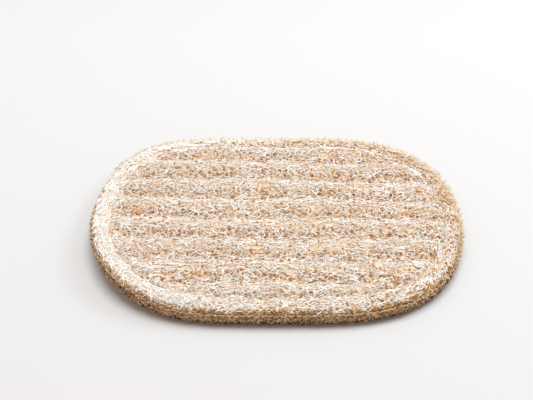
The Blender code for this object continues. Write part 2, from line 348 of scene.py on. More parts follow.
def fibre_material(name, cream, honey, stain_amount, flecked, fleck=FLECK, hollow=None):
    """A plant fibre finish that reads each fibre's own tone. Hollow is the painted shade colour down in the open
    meshes.
    """
    material, tree, shader = new_material(name, 0.62, 0.3)
    colours = {"Cream": cream, "Honey": honey, "Stain": STAIN, "Lit Pale": LIT_PALE, "Fleck": fleck}
    wires = {label: (*colour, 1) for label, colour in colours.items()}
    wires |= {label: attribute(tree, label.lower()) for label in ("Tone", "Inset", "Shade")}
    wires |= {"Stain Amount": stain_amount, "Fleck Amount": flecked}
    fibre = put(tree, "ShaderNodeGroup", wires, node_tree=fibre_group).outputs
    colour, height, depth = fibre["Color"], fibre["Height"], FIBRE_RELIEF
    if hollow:
        bare = calc(tree, "SUBTRACT", 1.0, fibre["Lit Border"])
        colour = blend_colours(tree, times(tree, attribute(tree, "hole"), bare), colour, (*hollow, 1))
        # painted shade in the recessed lines between the felt's fibres
        wires = {"Vector": own_place(tree), "Scale": FELT_SCALE}
        net = put(tree, "ShaderNodeTexVoronoi", wires, feature="DISTANCE_TO_EDGE").outputs["Distance"]
        between = spread(tree, net, *FELT_LINE)
        share = times(tree, between, times(tree, bare, FELT_SHARE))
        colour = blend_colours(tree, share, colour, (*FELT_SHADE_BROWN, 1))
        height, depth = calc(tree, "SUBTRACT", height, between), FELT_RELIEF
    paint(tree, shader, colour, 0.5, depth, height)
    return material


print("made", fibre_group.name)

# %% [markdown]
# ### Cotton yarn
#
# The backing and the threads are soft cotton. The group mixes a light and a dark yarn by each loop's own tone,
# and a fine noise gives the fuzz of short hairs. The pile at the side is darker near the table, where little
# light gets in between the yarns.

# %% Make the cotton group
FUZZ_SCALE, FUZZ_RANGE = 2200.0, (0.9, 1.08)
WEAR_SCALE, WEAR_RANGE = 320.0, (0.85, 1.12)
FOOT_HEIGHTS = (0.001, 0.0045)
YARN_RELIEF = 0.00015


def make_cotton_group():
    tree, given, result = new_group("cotton_yarn", ("Light", "Dark"), ("Tone", "Foot"), ("Color", "Height"))
    place = own_place(tree)
    fuzz = clouds(tree, place, FUZZ_SCALE, 3.0).outputs["Fac"]
    patches = clouds(tree, place, WEAR_SCALE, 2.0).outputs["Fac"]
    colour = blend_colours(tree, spread(tree, given["Tone"], 0.3, 0.75), given["Light"], given["Dark"])
    wear_and_shade = spread(tree, patches, 0.35, 0.7, *WEAR_RANGE)
    shade = times(tree, wear_and_shade, spread(tree, fuzz, 0.3, 0.7, *FUZZ_RANGE))
    shade = times(tree, shade, spread(tree, one_axis(tree, place, 2), *FOOT_HEIGHTS, given["Foot"], 1.0))
    tree.links.new(shaded(tree, colour, shade), result["Color"])
    tree.links.new(fuzz, result["Height"])
    return tree


cotton_group = make_cotton_group()


def cotton_material(name, light, dark, far=None, foot=1.0):
    """A cotton finish. Far is the painted backlit colour of the fringe behind and at the right, and foot is how
    much light is left at the table.
    """
    material, tree, shader = new_material(name, 0.9, 0.15)
    wires = {"Light": (*light, 1), "Dark": (*dark, 1), "Tone": attribute(tree, "tone"), "Foot": foot}
    yarn = put(tree, "ShaderNodeGroup", wires, node_tree=cotton_group).outputs
    colour = yarn["Color"]
    if far:
        colour = blend_colours(tree, attribute(tree, "far"), colour, (*far, 1))
    paint(tree, shader, colour, 0.6, YARN_RELIEF, yarn["Height"])
    return material


print("made", cotton_group.name)

# %% [markdown]
# ## The outline
#
# The pad was cut by hand to a rounded oblong. Its outline is measured from the stitched valley, which is a
# superellipse with its own exponents at each corner, so that the border has an even width. The same few numbers
# gave the CAD part its shape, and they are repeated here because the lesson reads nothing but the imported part.

# %% Trace the outline
LENGTH = 150 * MM
WIDTH = 111 * MM
SEAM_HEIGHT = 6.2 * MM
BORDER_WIDTH = 7.5 * MM
BACK_RIGHT, BACK_LEFT = (4.2, 2.0), (5.2, 2.25)
FRONT_LEFT, FRONT_RIGHT = (3.7, 2.0), (3.8, 2.05)
FINE_POINTS = 4000


def corner_of(x, y):
    """The outline's two exponents in the corner that a point lies in."""
    if y > 0:
        return BACK_LEFT if x < 0 else BACK_RIGHT
    return FRONT_LEFT if x < 0 else FRONT_RIGHT


def valley_outline(count):
    """Points and outward normals along the stitched valley, evenly spaced."""
    dense = []
    for step in range(FINE_POINTS + 1):
        angle = 2 * math.pi * step / FINE_POINTS
        c, s = math.cos(angle), math.sin(angle)
        end, side = corner_of(c, s)
        x = (LENGTH / 2 - BORDER_WIDTH) * math.copysign(abs(c) ** (2 / end), c)
        y = (WIDTH / 2 - BORDER_WIDTH) * math.copysign(abs(s) ** (2 / side), s)
        dense.append(Vector((x, y)))
    run = [0.0]
    for before, after in zip(dense, dense[1:]):
        run.append(run[-1] + (after - before).length)
    points, at = [], 0
    for index in range(count):
        target = run[-1] * index / count
        while run[at + 1] < target:
            at += 1
        points.append(dense[at].lerp(dense[at + 1], (target - run[at]) / (run[at + 1] - run[at])))
    normals = []
    for index, point in enumerate(points):
        along = points[(index + 1) % count] - points[index - 1]
        normals.append(Vector((along.y, -along.x)).normalized())
    return points, normals


def loop_at(inset, count):
    """The outline moved in by inset."""
    points, normals = valley_outline(count)
    return [p + n * (BORDER_WIDTH - inset) for p, n in zip(points, normals)]


OUTLINE_POINTS = 2400
outline, outline_normals = valley_outline(OUTLINE_POINTS)
outline_tree = KDTree(OUTLINE_POINTS)
for index, point in enumerate(outline):
    outline_tree.insert(point.to_3d(), index)
outline_tree.balance()


def inset_and_heading(x, y):
    """How far a point lies inside the pad's outline, and the direction that the outline runs in there."""
    _, index, distance = outline_tree.find(Vector((x, y, 0)))
    end, side = corner_of(x, y)
    along = abs(x / (LENGTH / 2 - BORDER_WIDTH)) ** end
    across = abs(y / (WIDTH / 2 - BORDER_WIDTH)) ** side
    normal = outline_normals[index]
    heading = math.atan2(normal.x, -normal.y)
    return BORDER_WIDTH + (distance if along + across < 1 else -distance), heading


def inset_of(x, y):
    return inset_and_heading(x, y)[0]


edge = loop_at(0, 720)
around = sum((b - a).length for a, b in zip(edge, edge[1:] + edge[:1]))
print("the edge is", round(around / MM), "mm round")

# %% [markdown]
# ## The lie of the loofah
#
# A gourd grows its fibres in long ribs, and the sheet keeps them when it is cut and pressed. The height of the
# sheet is one formula: a rolled edge, a stitched valley, ribs, a little unevenness, one cross fold and the curl
# of the front left corner. A formula is better than sculpting here, because the bed and each layer of fibres
# can all follow it.

# %% Give the height of the sheet
BORDER_HEIGHT = 9.2 * MM
BORDER_ROLL = 5.0 * MM
VALLEY_DEPTH = 1.0 * MM
VALLEY_HALF_WIDTH = 1.9 * MM
FACE_HEIGHT = 9.4 * MM
FACE_RISE_WIDTH = 5.0 * MM
RIB_PITCH = 12.8 * MM
RIB_CREST = 5.1 * MM
RIB_RISE = 2.0 * MM
RIB_WANDER = 0.6 * MM
RIB_WANDER_LENGTH = 95 * MM
RIB_WANDER_DRIFT = 0.2
RIB_SLANT = 0.03
RIB_SLANT_START = -25 * MM
RIB_SLANT_WIDTH = 45 * MM
CURL_DIRECTION = (-0.909, -0.417)
CURL_START = 51 * MM
CURL_REACH = 25.4 * MM
CURL_RISE = 6.1 * MM
LUMP_SIZE = 6.0 * MM
LUMP_RISE = 0.55 * MM
FOLD_PLACE = 19.5 * MM
FOLD_HALF_WIDTH = 1.6 * MM
FOLD_RISE = 0.35 * MM


def smooth(share):
    share = min(max(share, 0.0), 1.0)
    return share * share * (3 - 2 * share)


def curl(x, y):
    """Rise of the pad's front left corner off the table."""
    along = x * CURL_DIRECTION[0] + y * CURL_DIRECTION[1]
    share = max(0.0, (along - CURL_START) / CURL_REACH)
    return CURL_RISE * share * share


def rib_share(x, y):
    """1 on the crest of a rib, and 0 in the crease between two ribs."""
    turns = x / RIB_WANDER_LENGTH + RIB_WANDER_DRIFT * y / RIB_PITCH
    wander = RIB_WANDER * math.sin(2 * math.pi * turns)
    slant = RIB_SLANT * x * smooth((y - RIB_SLANT_START) / RIB_SLANT_WIDTH)
    return 0.5 + 0.5 * math.cos(2 * math.pi * (y + slant - wander - RIB_CREST) / RIB_PITCH)


def sheet_height(x, y, inset):
    """Height of the loofah's surface over the table."""
    roll = min(max(inset / BORDER_ROLL, 0.0), 1.0)
    border = SEAM_HEIGHT + (BORDER_HEIGHT - SEAM_HEIGHT) * math.sqrt(1 - (1 - roll) ** 2)
    inner = smooth((inset - BORDER_WIDTH) / FACE_RISE_WIDTH)
    valley = smooth(1 - abs(inset - BORDER_WIDTH) / VALLEY_HALF_WIDTH)
    raised = (FACE_HEIGHT - BORDER_HEIGHT) * inner
    raised += RIB_RISE * rib_share(x, y) * (0.25 * roll + 0.75 * inner)
    raised += FOLD_RISE * smooth(1 - abs(x - FOLD_PLACE) / FOLD_HALF_WIDTH) * inner
    lump = LUMP_RISE * noise.noise(Vector((x / LUMP_SIZE, y / LUMP_SIZE, 3.7)))
    return border + raised + lump * roll - VALLEY_DEPTH * valley + curl(x, y)


print("crest at", round(sheet_height(0, RIB_CREST, 50 * MM) / MM, 1), "mm")

# %% [markdown]
# ## The open meshes
#
# Between a loofah's fibres there are small open meshes, and the light that falls into them comes back orange
# brown. On the real sheet they are wider and more frequent in the creases and on the slopes than on the crests,
# and rare in the border. They are placed first, because the bed is hollowed at each one and every fibre is led
# round it.

# %% Scatter the open meshes
MESH_STEP = (1.9 * MM, 2.15 * MM)
MESH_STRETCH = 1.3
MESH_SHADE_SHIFT = 1.2 * MM
DARK_RING = (5.2 * MM, 2.8 * MM)
MESH_DEPTH = 1.3 * MM
WIDE_MESH = 0.36 * MM


def shade_of(x, y, inset):
    """1 in a crease, on a slope that faces the front and just outside the right valley, and 0 on a crest."""
    inner = smooth((inset - BORDER_WIDTH) / (2 * MM) + 1)
    crease = inner * (1 - rib_share(x, y - MESH_SHADE_SHIFT))
    rightward = smooth(0.35 + 1.4 * (x + 0.8 * y) / LENGTH)
    ring = 1.3 * rightward * smooth(1 - abs(inset - DARK_RING[0]) / DARK_RING[1])
    return max(crease, ring, (1 - inner) * (0.3 + 0.6 * rightward))


def scatter_meshes():
    """Places and half widths of the open meshes."""
    chance = random.Random(23)
    found = []
    rows = math.ceil(WIDTH / 2 / MESH_STEP[1])
    columns = math.ceil(LENGTH / 2 / MESH_STEP[0])
    for row in range(-rows, rows + 1):
        for column in range(-columns, columns + 1):
            x = (column + 0.5 * (row % 2) + chance.uniform(-0.42, 0.42)) * MESH_STEP[0]
            y = (row + chance.uniform(-0.42, 0.42)) * MESH_STEP[1]
            inset = inset_of(x, y)
            shade = shade_of(x, y, inset)
            rightward = x / LENGTH
            if inset > BORDER_WIDTH:
                likely = 0.4 + 0.6 * shade + 0.2 * rightward
            else:
                likely = 0.35 + 0.3 * rightward + 0.4 * shade
            if inset < 1.8 * MM or chance.random() > likely:
                continue
            size = 0.2 + (0.14 + 0.24 * shade + 0.1 * rightward) * chance.random() ** 1.3
            found.append((x, y, size * MM))
    return found


meshes = scatter_meshes()
mesh_tree = KDTree(len(meshes))
for index, (x, y, size) in enumerate(meshes):
    mesh_tree.insert(Vector((x / MESH_STRETCH, y, 0)), index)
mesh_tree.balance()


def openness(x, y):
    """How deep a point lies in an open mesh: 0 outside all of them, and 1 in the middle of a wide one."""
    _, index, distance = mesh_tree.find(Vector((x / MESH_STRETCH, y, 0)))
    size = meshes[index][2]
    return smooth(1.75 - distance / size) * min(1.0, size / WIDE_MESH)


print(len(meshes), "open meshes")

# %% [markdown]
# ## The bed of the loofah
#
# Under the open fibres the real sheet is a dense felt of older ones. It could be left out, but then the terry
# would show through each gap. A closed solid under the fibres gives the gaps their floor, is hollowed at each
# open mesh, and is what the fibres at the edge wrap round.

# %% Helpers for closed layers
ROW_SHARE = 0.87
HEADED_INSET = BORDER_WIDTH + 1.5 * MM


def make_object(name, mesh):
    piece = bpy.data.objects.new(name, mesh)
    bpy.context.scene.collection.objects.link(piece)
    return piece


def set_float(mesh, name, values):
    mesh.attributes.new(name, "FLOAT", "POINT").data.foreach_set("value", values)


def triangulate(loop, inner):
    """Joins a closed loop and the loose points inside it into triangles."""
    points = [Vector(p) for p in loop] + [Vector(p) for p in inner]
    count = len(loop)
    edges = [(i, (i + 1) % count) for i in range(count)]
    faces = delaunay_2d_cdt(points, edges, [list(range(count))], 1, 1e-7)[2]
    return points, [list(face) for face in faces]


def inner_points(step, least_inset):
    """Loose points in staggered rows, all at least that far inside the edge."""
    found = []
    rows = math.ceil(WIDTH / 2 / (step * ROW_SHARE))
    columns = math.ceil(LENGTH / 2 / step)
    for row in range(-rows, rows + 1):
        for column in range(-columns, columns + 1):
            x, y = (column + 0.5 * (row % 2)) * step, row * step * ROW_SHARE
            if inset_of(x, y) > least_inset:
                found.append(Vector((x, y)))
    return found


def layer(name, count, top=None, rings=(), bottom=None):
    """A skin from a top sheet (points, faces, height) over rings (inset, height in mm) to a bottom sheet."""
    build = bmesh.new()

    def add(points, faces, height):
        verts = [build.verts.new((p.x, p.y, height(p.x, p.y))) for p in points]
        for face in faces:
            build.faces.new([verts[i] for i in face])
        return verts[:count]

    hoops = [add(*top)] if top else []
    for inset, level in rings:
        places = loop_at(inset * MM, count)
        hoops.append([build.verts.new((p.x, p.y, level * MM + curl(p.x, p.y))) for p in places])
    if bottom:
        hoops.append(add(*bottom))
    for upper, lower in zip(hoops, hoops[1:]):
        for i in range(count):
            after = (i + 1) % count
            build.faces.new((lower[i], lower[after], upper[after], upper[i]))
    bmesh.ops.recalc_face_normals(build, faces=build.faces)
    mesh = bpy.data.meshes.new(name)
    build.to_mesh(mesh)
    build.free()
    mesh.polygons.foreach_set("use_smooth", [True] * len(mesh.polygons))
    found = [inset_and_heading(v.co.x, v.co.y) for v in mesh.vertices]
    set_float(mesh, "inset", [inset for inset, _ in found])
    shades = [shade_of(v.co.x, v.co.y, inset) for v, (inset, _) in zip(mesh.vertices, found)]
    set_float(mesh, "shade", shades)
    set_float(mesh, "heading", [heading if inset < HEADED_INSET else 0 for inset, heading in found])
    return make_object(name, mesh)


print("helpers ready")

# %% Make the bed
BED_DROP = 0.5 * MM
BED_STEP = 0.85 * MM
BED_LOOP = 640
BED_EDGE_INSET = 1.5 * MM
BED_RINGS = ((1.0, 7.3), (0.6, 7.0), (0.9, 6.6))
BED_CORNERS = ((0.8, 5), (1.7, 8))
SEAM_GROOVE_DEPTH = 1.7 * MM


def seam_sheet(count):
    """The flat sheet where the two layers meet."""
    return triangulate(loop_at(SEAM_GROOVE_DEPTH, count), inner_points(9 * MM, 7 * MM))


def bed_height(x, y):
    inset = max(inset_of(x, y) - BED_DROP, 0.0)
    return sheet_height(x, y, inset) - BED_DROP - MESH_DEPTH * openness(x, y)


def bed_points():
    """A middle point and two rings at each open mesh, and staggered rows between the meshes."""
    found = []
    for x, y, size in meshes:
        found.append(Vector((x, y)))
        for reach, corners in BED_CORNERS:
            for corner in range(corners):
                angle = 2 * math.pi * corner / corners
                out = Vector((MESH_STRETCH * math.cos(angle), math.sin(angle))) * size * reach
                if inset_of(x + out.x, y + out.y) > BED_EDGE_INSET + 0.2 * MM:
                    found.append(Vector((x, y)) + out)
    for point in inner_points(BED_STEP, BED_EDGE_INSET + 0.4 * MM):
        _, index, distance = mesh_tree.find(Vector((point.x / MESH_STRETCH, point.y, 0)))
        if distance > 1.9 * meshes[index][2]:
            found.append(point)
    return found


def make_bed():
    top = triangulate(loop_at(BED_EDGE_INSET, BED_LOOP), bed_points())
    bottom = (*seam_sheet(BED_LOOP), lambda x, y: SEAM_HEIGHT + curl(x, y))
    return layer("loofah_bed", BED_LOOP, (*top, bed_height), BED_RINGS, bottom)


# The bed's colours are partly the felt's own and partly painted shade under the fibres above it.
BED_CREAM = (0.76, 0.63, 0.50)
BED_HONEY = (0.66, 0.49, 0.32)
# Painted shade down in the open meshes.
MESH_SHADE_BROWN = (0.50, 0.23, 0.05)
bed_finish = fibre_material("loofah_bed", BED_CREAM, BED_HONEY, 0.3, 1.0, DEEP_FLECK, MESH_SHADE_BROWN)
bed = make_bed()
bed.data.materials.append(bed_finish)
set_float(bed.data, "tone", [0.5 + 0.5 * noise.noise(v.co * 900) for v in bed.data.vertices])
set_float(bed.data, "hole", [openness(v.co.x, v.co.y) for v in bed.data.vertices])
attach(bed, "root")
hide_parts("loofah_face")
bed.data.calc_loop_triangles()
print("bed of", len(bed.data.loop_triangles), "triangles")

# %% [markdown]
# Two helpers carry the same shapes for the fibres to follow: a dome with the loofah's surface from its middle
# over the rolled edge, and the middle points of the open meshes. They are taken away before the end, because
# they are no part of the pad.

# %% Make the helpers
DOME_STEP = 0.9 * MM
DOME_LOOP = 460
DOME_EDGE_INSET = 0.9 * MM
DOME_RINGS = ((0.4, 7.5), (0.1, 7.0), (0.1, 6.6))


def make_dome():
    def height(x, y):
        return sheet_height(x, y, inset_of(x, y))

    inner = inner_points(DOME_STEP, DOME_EDGE_INSET + 0.6 * MM)
    top = triangulate(loop_at(DOME_EDGE_INSET, DOME_LOOP), inner)
    return layer("helper_dome", DOME_LOOP, (*top, height), DOME_RINGS)


def make_mesh_centres():
    mesh = bpy.data.meshes.new("helper_meshes")
    mesh.from_pydata([(x / MESH_STRETCH, y, 0) for x, y, size in meshes], [], [])
    set_float(mesh, "size", [size for x, y, size in meshes])
    return make_object("helper_meshes", mesh)


helper_dome = make_dome()
helper_meshes = make_mesh_centres()
helpers = [helper_dome, helper_meshes]
print("dome of", len(helper_dome.data.polygons), "faces")

# %% [markdown]
# ## Growing fibres
#
# Curves could be drawn by hand, but there are thousands. Geometry Nodes make them from a rule. Every kind of
# strand ends the same way: it gets a thickness that differs from strand to strand, a tone for its colour, three
# sides that are shaded round, and closed ends.

# %% Helpers for Geometry Nodes
COUNTS = ("Points", "Steps", "Seed")
LENGTHS = ("Least Inset", "Most Inset", "Shortest", "Longest", "Curl", "Lift", "Unevenness", "Thickness", "Width",
           "Height", "Sprawl", "Swing Out", "Swing Up")


def new_tree(name, objects, sizes):
    """A Geometry Nodes tree that takes objects, sizes and a material by name."""
    tree = bpy.data.node_groups.new(name, "GeometryNodeTree")
    sockets = [(label, "Object") for label in objects]
    sockets += [(label, "Int" if label in COUNTS else "Float") for label in sizes]
    for label, kind in (*sockets, ("Material", "Material")):
        tree.interface.new_socket(label, in_out="INPUT", socket_type="NodeSocket" + kind)
    tree.interface.new_socket("Geometry", in_out="OUTPUT", socket_type="NodeSocketGeometry")
    return tree, tree.nodes.new("NodeGroupInput").outputs, tree.nodes.new("NodeGroupOutput").inputs


def in_metres(labels, numbers):
    """Names the numbers of a row. Lengths come in mm, and density in strands a mm2."""
    units = {"Density": 1e6} | {label: MM for label in LENGTHS}
    return {label: number * units.get(label, 1) for label, number in zip(labels, numbers)}


def random_number(tree, low, high, seed):
    node = put(tree, "FunctionNodeRandomValue", {2: low, 3: high, "Seed": seed}, data_type="FLOAT")
    return node.outputs[1]


def each_strand(tree, value, kind="FLOAT"):
    """The same value along the whole of one strand."""
    node = put(tree, "GeometryNodeFieldOnDomain", {"Value": value}, domain="CURVE", data_type=kind)
    return node.outputs[0]


def own_shift(tree, seed):
    """A random shift for each strand, which gives it its own part of a noise."""
    wires = {0: (0, 0, 0), 1: (3, 3, 3), "Seed": seed}
    shift = put(tree, "FunctionNodeRandomValue", wires, data_type="FLOAT_VECTOR").outputs[0]
    return each_strand(tree, shift, "FLOAT_VECTOR")


def named(tree, name):
    return put(tree, "GeometryNodeInputNamedAttribute", {"Name": name}, data_type="FLOAT").outputs[0]


def place_of(tree):
    return put(tree, "GeometryNodeInputPosition").outputs[0]


def object_shape(tree, source):
    return put(tree, "GeometryNodeObjectInfo", {"Object": source}).outputs["Geometry"]


def moved(tree, geometry, how, vector):
    """Moves points to a Position or by an Offset."""
    return put(tree, "GeometryNodeSetPosition", {"Geometry": geometry, how: vector}).outputs[0]


def sow(tree, given, surface, chosen):
    """Random points on the chosen part of a surface."""
    wires = {"Mesh": surface, "Selection": chosen, "Density": given["Density"], "Seed": given["Seed"]}
    return put(tree, "GeometryNodeDistributePointsOnFaces", wires).outputs


def set_on(tree, points, piece, turn, wide, high):
    """A copy of a piece on each point, upright on the surface, turned and stretched."""
    flat = put(tree, "FunctionNodeEulerToRotation", {"Euler": combine(tree, 0.0, 0.0, turn)}).outputs[0]
    upright = put(tree, "FunctionNodeAlignRotationToVector", {"Rotation": flat, "Vector": points["Normal"]},
                  axis="Z").outputs[0]
    wires = {"Points": points["Points"], "Instance": piece, "Rotation": upright,
             "Scale": combine(tree, wide, wide, high)}
    copies = put(tree, "GeometryNodeInstanceOnPoints", wires).outputs[0]
    return put(tree, "GeometryNodeRealizeInstances", {0: copies}).outputs[0]


def grow(name, tree, values, material):
    """Runs a tree once and returns its result as a plain mesh that rides the pad."""
    host = make_object(name + "_host", bpy.data.meshes.new(name + "_host"))
    modifier = host.modifiers.new("grow", "NODES")
    modifier.node_group = tree
    for item in tree.interface.items_tree:
        if item.item_type == "SOCKET" and item.in_out == "INPUT":
            modifier[item.identifier] = material if item.name == "Material" else values[item.name]
    graph = bpy.context.evaluated_depsgraph_get()
    mesh = bpy.data.meshes.new_from_object(host.evaluated_get(graph))
    mesh.name = name
    bpy.data.objects.remove(host)
    piece = make_object(name, mesh)
    mesh.calc_loop_triangles()
    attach(piece, "root")
    print(name, "has", len(mesh.loop_triangles), "triangles")
    return piece


def thicken(tree, curve, thickness, seed, taper=0.0, sides=3):
    """Turns curves into closed tubes that each have their own tone."""
    varied = each_strand(tree, random_number(tree, 0.7, 1.25, seed))
    radius = times(tree, thickness, times(tree, varied, 0.5))
    if taper:
        along = put(tree, "GeometryNodeSplineParameter").outputs["Factor"]
        from_middle = calc(tree, "ABSOLUTE", calc(tree, "SUBTRACT", times(tree, along, 2.0), 1.0))
        thin = calc(tree, "SUBTRACT", 1.0, times(tree, calc(tree, "POWER", from_middle, 3.0), taper))
        radius = times(tree, radius, thin)
    tone = each_strand(tree, random_number(tree, 0.0, 1.0, plus(tree, seed, 11)))
    toned = put(tree, "GeometryNodeStoreNamedAttribute", {"Geometry": curve, "Name": "tone", "Value": tone},
                data_type="FLOAT", domain="POINT").outputs[0]
    ring = put(tree, "GeometryNodeCurvePrimitiveCircle", {"Resolution": sides, "Radius": 1.0}).outputs[0]
    tubes = put(tree, "GeometryNodeCurveToMesh", {"Curve": toned, "Profile Curve": ring, "Scale": radius,
                                                   "Fill Caps": True})
    return put(tree, "GeometryNodeSetShadeSmooth", {0: tubes.outputs[0]}).outputs[0]


def finish_tree(tree, given, result, geometry):
    """Ends a tree in plain geometry with its material."""
    plain = put(tree, "GeometryNodeRealizeInstances", {0: geometry}).outputs[0]
    painted = put(tree, "GeometryNodeSetMaterial", {"Geometry": plain, "Material": given["Material"]})
    tree.links.new(painted.outputs[0], result["Geometry"])


def noise_vector(tree, scale, seed, own=None):
    """Smooth noise from -0.5 to 0.5 on each axis. Own gives each strand its own part of the noise."""
    shift = combine(tree, times(tree, seed, 0.37), 0.0, times(tree, seed, 0.11))
    place = calc_vector(tree, "ADD", place_of(tree), shift)
    if own is not None:
        place = calc_vector(tree, "ADD", place, own)
    cloud = clouds(tree, place, scale, 1.0).outputs["Color"]
    return calc_vector(tree, "SUBTRACT", cloud, MIDDLE_GREY)


def lead_round(tree, centres, curve, room):
    """Pushes the points of curves out of the open meshes. Room is how wide a berth each mesh gets."""
    squeezed = calc_vector(tree, "MULTIPLY", place_of(tree), (1 / MESH_STRETCH, 1, 0))
    wires = {"Geometry": centres, "Sample Position": squeezed}
    index = put(tree, "GeometryNodeSampleNearest", wires).outputs[0]

    def read(value, kind):
        wires = {"Geometry": centres, "Value": value, "Index": index}
        return put(tree, "GeometryNodeSampleIndex", wires, data_type=kind).outputs[0]

    centre = read(place_of(tree), "FLOAT_VECTOR")
    size = read(named(tree, "size"), "FLOAT")
    away = calc_vector(tree, "SUBTRACT", squeezed, centre)
    distance = calc_vector(tree, "LENGTH", away)
    short = calc(tree, "MAXIMUM", calc(tree, "SUBTRACT", times(tree, size, room), distance), 0.0)
    push = scaled(tree, calc_vector(tree, "NORMALIZE", away), short)
    offset = calc_vector(tree, "MULTIPLY", push, (MESH_STRETCH, 1, 0))
    return moved(tree, curve, "Offset", offset)


def settle_on(tree, surface, curve, lift):
    """Moves the points of curves to the nearest place on a surface, and lifts them along its normal."""
    near = put(tree, "GeometryNodeProximity", {"Geometry": surface}, target_element="FACES").outputs["Position"]
    facing = put(tree, "GeometryNodeInputNormal").outputs[0]
    normal = put(tree, "GeometryNodeSampleNearestSurface", {"Mesh": surface, "Value": facing},
                 data_type="FLOAT_VECTOR").outputs["Value"]
    place = calc_vector(tree, "ADD", near, scaled(tree, normal, lift))
    return moved(tree, curve, "Position", place)


def arc(tree, points, sweep, start):
    """An arc of radius one round the origin."""
    return put(tree, "GeometryNodeCurveArc", {"Resolution": points, "Radius": 1.0, "Start Angle": start,
                                              "Sweep Angle": sweep}, mode="RADIUS").outputs[0]


print("helpers ready")

# %% [markdown]
# ### Loose strands
#
# A felt of loose strands lies on the sheet. Each starts as an arc on a random point of the dome, turned along the
# ribs or the edge as far as its kind needs. It is bent by its own noise, led round the open meshes and laid on
# the surface.

# %% Build the strand tree
STRAND_SIZES = ("Density", "Least Inset", "Most Inset", "Shortest", "Longest", "Sweep", "Turn", "Curl", "Room",
                "Lift", "Unevenness", "Thickness", "Points", "Seed")
BEND_SCALE, RISE_SCALE = 360.0, 330.0


def make_strand_tree():
    tree, given, result = new_tree("loose_strands", ("Surface", "Meshes"), STRAND_SIZES)
    surface = object_shape(tree, given["Surface"])
    inset = named(tree, "inset")
    inside = times(tree, calc(tree, "GREATER_THAN", inset, given["Least Inset"]),
                   calc(tree, "LESS_THAN", inset, given["Most Inset"]))
    points = sow(tree, given, surface, inside)
    radius = calc(tree, "DIVIDE", 1.0, given["Sweep"])
    bow = arc(tree, given["Points"], given["Sweep"], times(tree, given["Sweep"], -0.5))
    strand = put(tree, "GeometryNodeTransform", {"Geometry": bow, "Translation": (-1.0, 0, 0)}).outputs[0]
    one = random_number(tree, -1.0, 1.0, plus(tree, given["Seed"], 1))
    two = random_number(tree, -1.0, 1.0, plus(tree, given["Seed"], 2))
    turn = times(tree, plus(tree, one, two), times(tree, given["Turn"], 0.5))
    turn = plus(tree, plus(tree, turn, math.pi / 2), named(tree, "heading"))
    size = random_number(tree, given["Shortest"], given["Longest"], plus(tree, given["Seed"], 3))
    size = times(tree, size, radius)
    strands = set_on(tree, points, strand, turn, size, size)
    own = own_shift(tree, plus(tree, given["Seed"], 4))
    bend = scaled(tree, noise_vector(tree, BEND_SCALE, given["Seed"], own), given["Curl"])
    strands = moved(tree, strands, "Offset", bend)
    strands = lead_round(tree, object_shape(tree, given["Meshes"]), strands, given["Room"])
    rise = one_axis(tree, noise_vector(tree, RISE_SCALE, given["Seed"], own), 1)
    lift = plus(tree, given["Lift"], times(tree, rise, given["Unevenness"]))
    laid = settle_on(tree, surface, strands, lift)
    finish_tree(tree, given, result, thicken(tree, laid, given["Thickness"], given["Seed"], taper=0.6))
    return tree


strand_tree = make_strand_tree()
print("made", strand_tree.name)

# %% [markdown]
# Four kinds lie over each other. Deep ones are honey coloured, and the lower kinds are painted darker as the
# shade that the upper ones cast on them. Curly ones give the rings round the meshes, long ones follow the ribs,
# and the top ones stand up loosely. A fifth kind runs along the border and over its edge.

# %% Lay the strands
CREAM, HONEY = (0.97, 0.955, 0.935), (0.92, 0.85, 0.75)
# The darker creams and honeys of the lower kinds are painted shade.
MIDDLE_CREAM, MIDDLE_HONEY = (0.955, 0.925, 0.89), (0.90, 0.81, 0.68)
DEEP_CREAM, DEEP_HONEY = (0.90, 0.84, 0.77), (0.82, 0.68, 0.52)
STRAND_KINDS = (
    # name, and then the numbers in the order of STRAND_SIZES
    ("felt_deep", 0.22, 0.9, 99, 3.0, 6.0, 1.8, 3.1, 2.0, 1.5, -0.26, 0.4, 0.36, 7, 31),
    ("felt_curly", 0.28, 0.9, 99, 2.2, 4.4, 3.6, 3.1, 1.6, 1.5, -0.02, 0.5, 0.31, 8, 47),
    ("felt_long", 0.14, 0.9, 99, 4.0, 8.0, 1.0, 0.9, 1.8, 1.5, 0.10, 0.5, 0.38, 8, 59),
    ("felt_top", 0.12, 0.9, 99, 2.4, 5.5, 2.8, 3.1, 2.2, 1.4, 0.24, 0.9, 0.38, 8, 71),
    ("edge_strands", 0.50, 0.5, 6.0, 2.0, 5.0, 1.0, 1.6, 1.6, 1.2, 0.05, 0.5, 0.34, 6, 83),
)
STRAND_STAIN = 0.15
TINTS = {
    # name: cream, honey, how much of the flecks (painted gap shade) shows
    "felt_deep": (DEEP_CREAM, DEEP_HONEY, 1.0),
    "felt_curly": (MIDDLE_CREAM, MIDDLE_HONEY, 0.95),
    "felt_long": (CREAM, HONEY, 0.85),
    "felt_top": (CREAM, HONEY, 0.6),
    "edge_strands": (MIDDLE_CREAM, MIDDLE_HONEY, 0.8),
}
for name, *numbers in STRAND_KINDS:
    cream, honey, flecked = TINTS[name]
    values = {"Surface": helper_dome, "Meshes": helper_meshes, **in_metres(STRAND_SIZES, numbers)}
    grow(name, strand_tree, values, fibre_material(name, cream, honey, STRAND_STAIN, flecked))

# %% [markdown]
# ## The terry backing
#
# The cloth is a body with loops of yarn standing all over it. A cloth simulation wouldn't add anything, since
# the backing is thick and lies flat. The body is a closed solid that meets the loofah on the same plan. Its
# loops are grown on a skirt round the side, which also reaches up behind the loofah's cut edge, and on a sole.

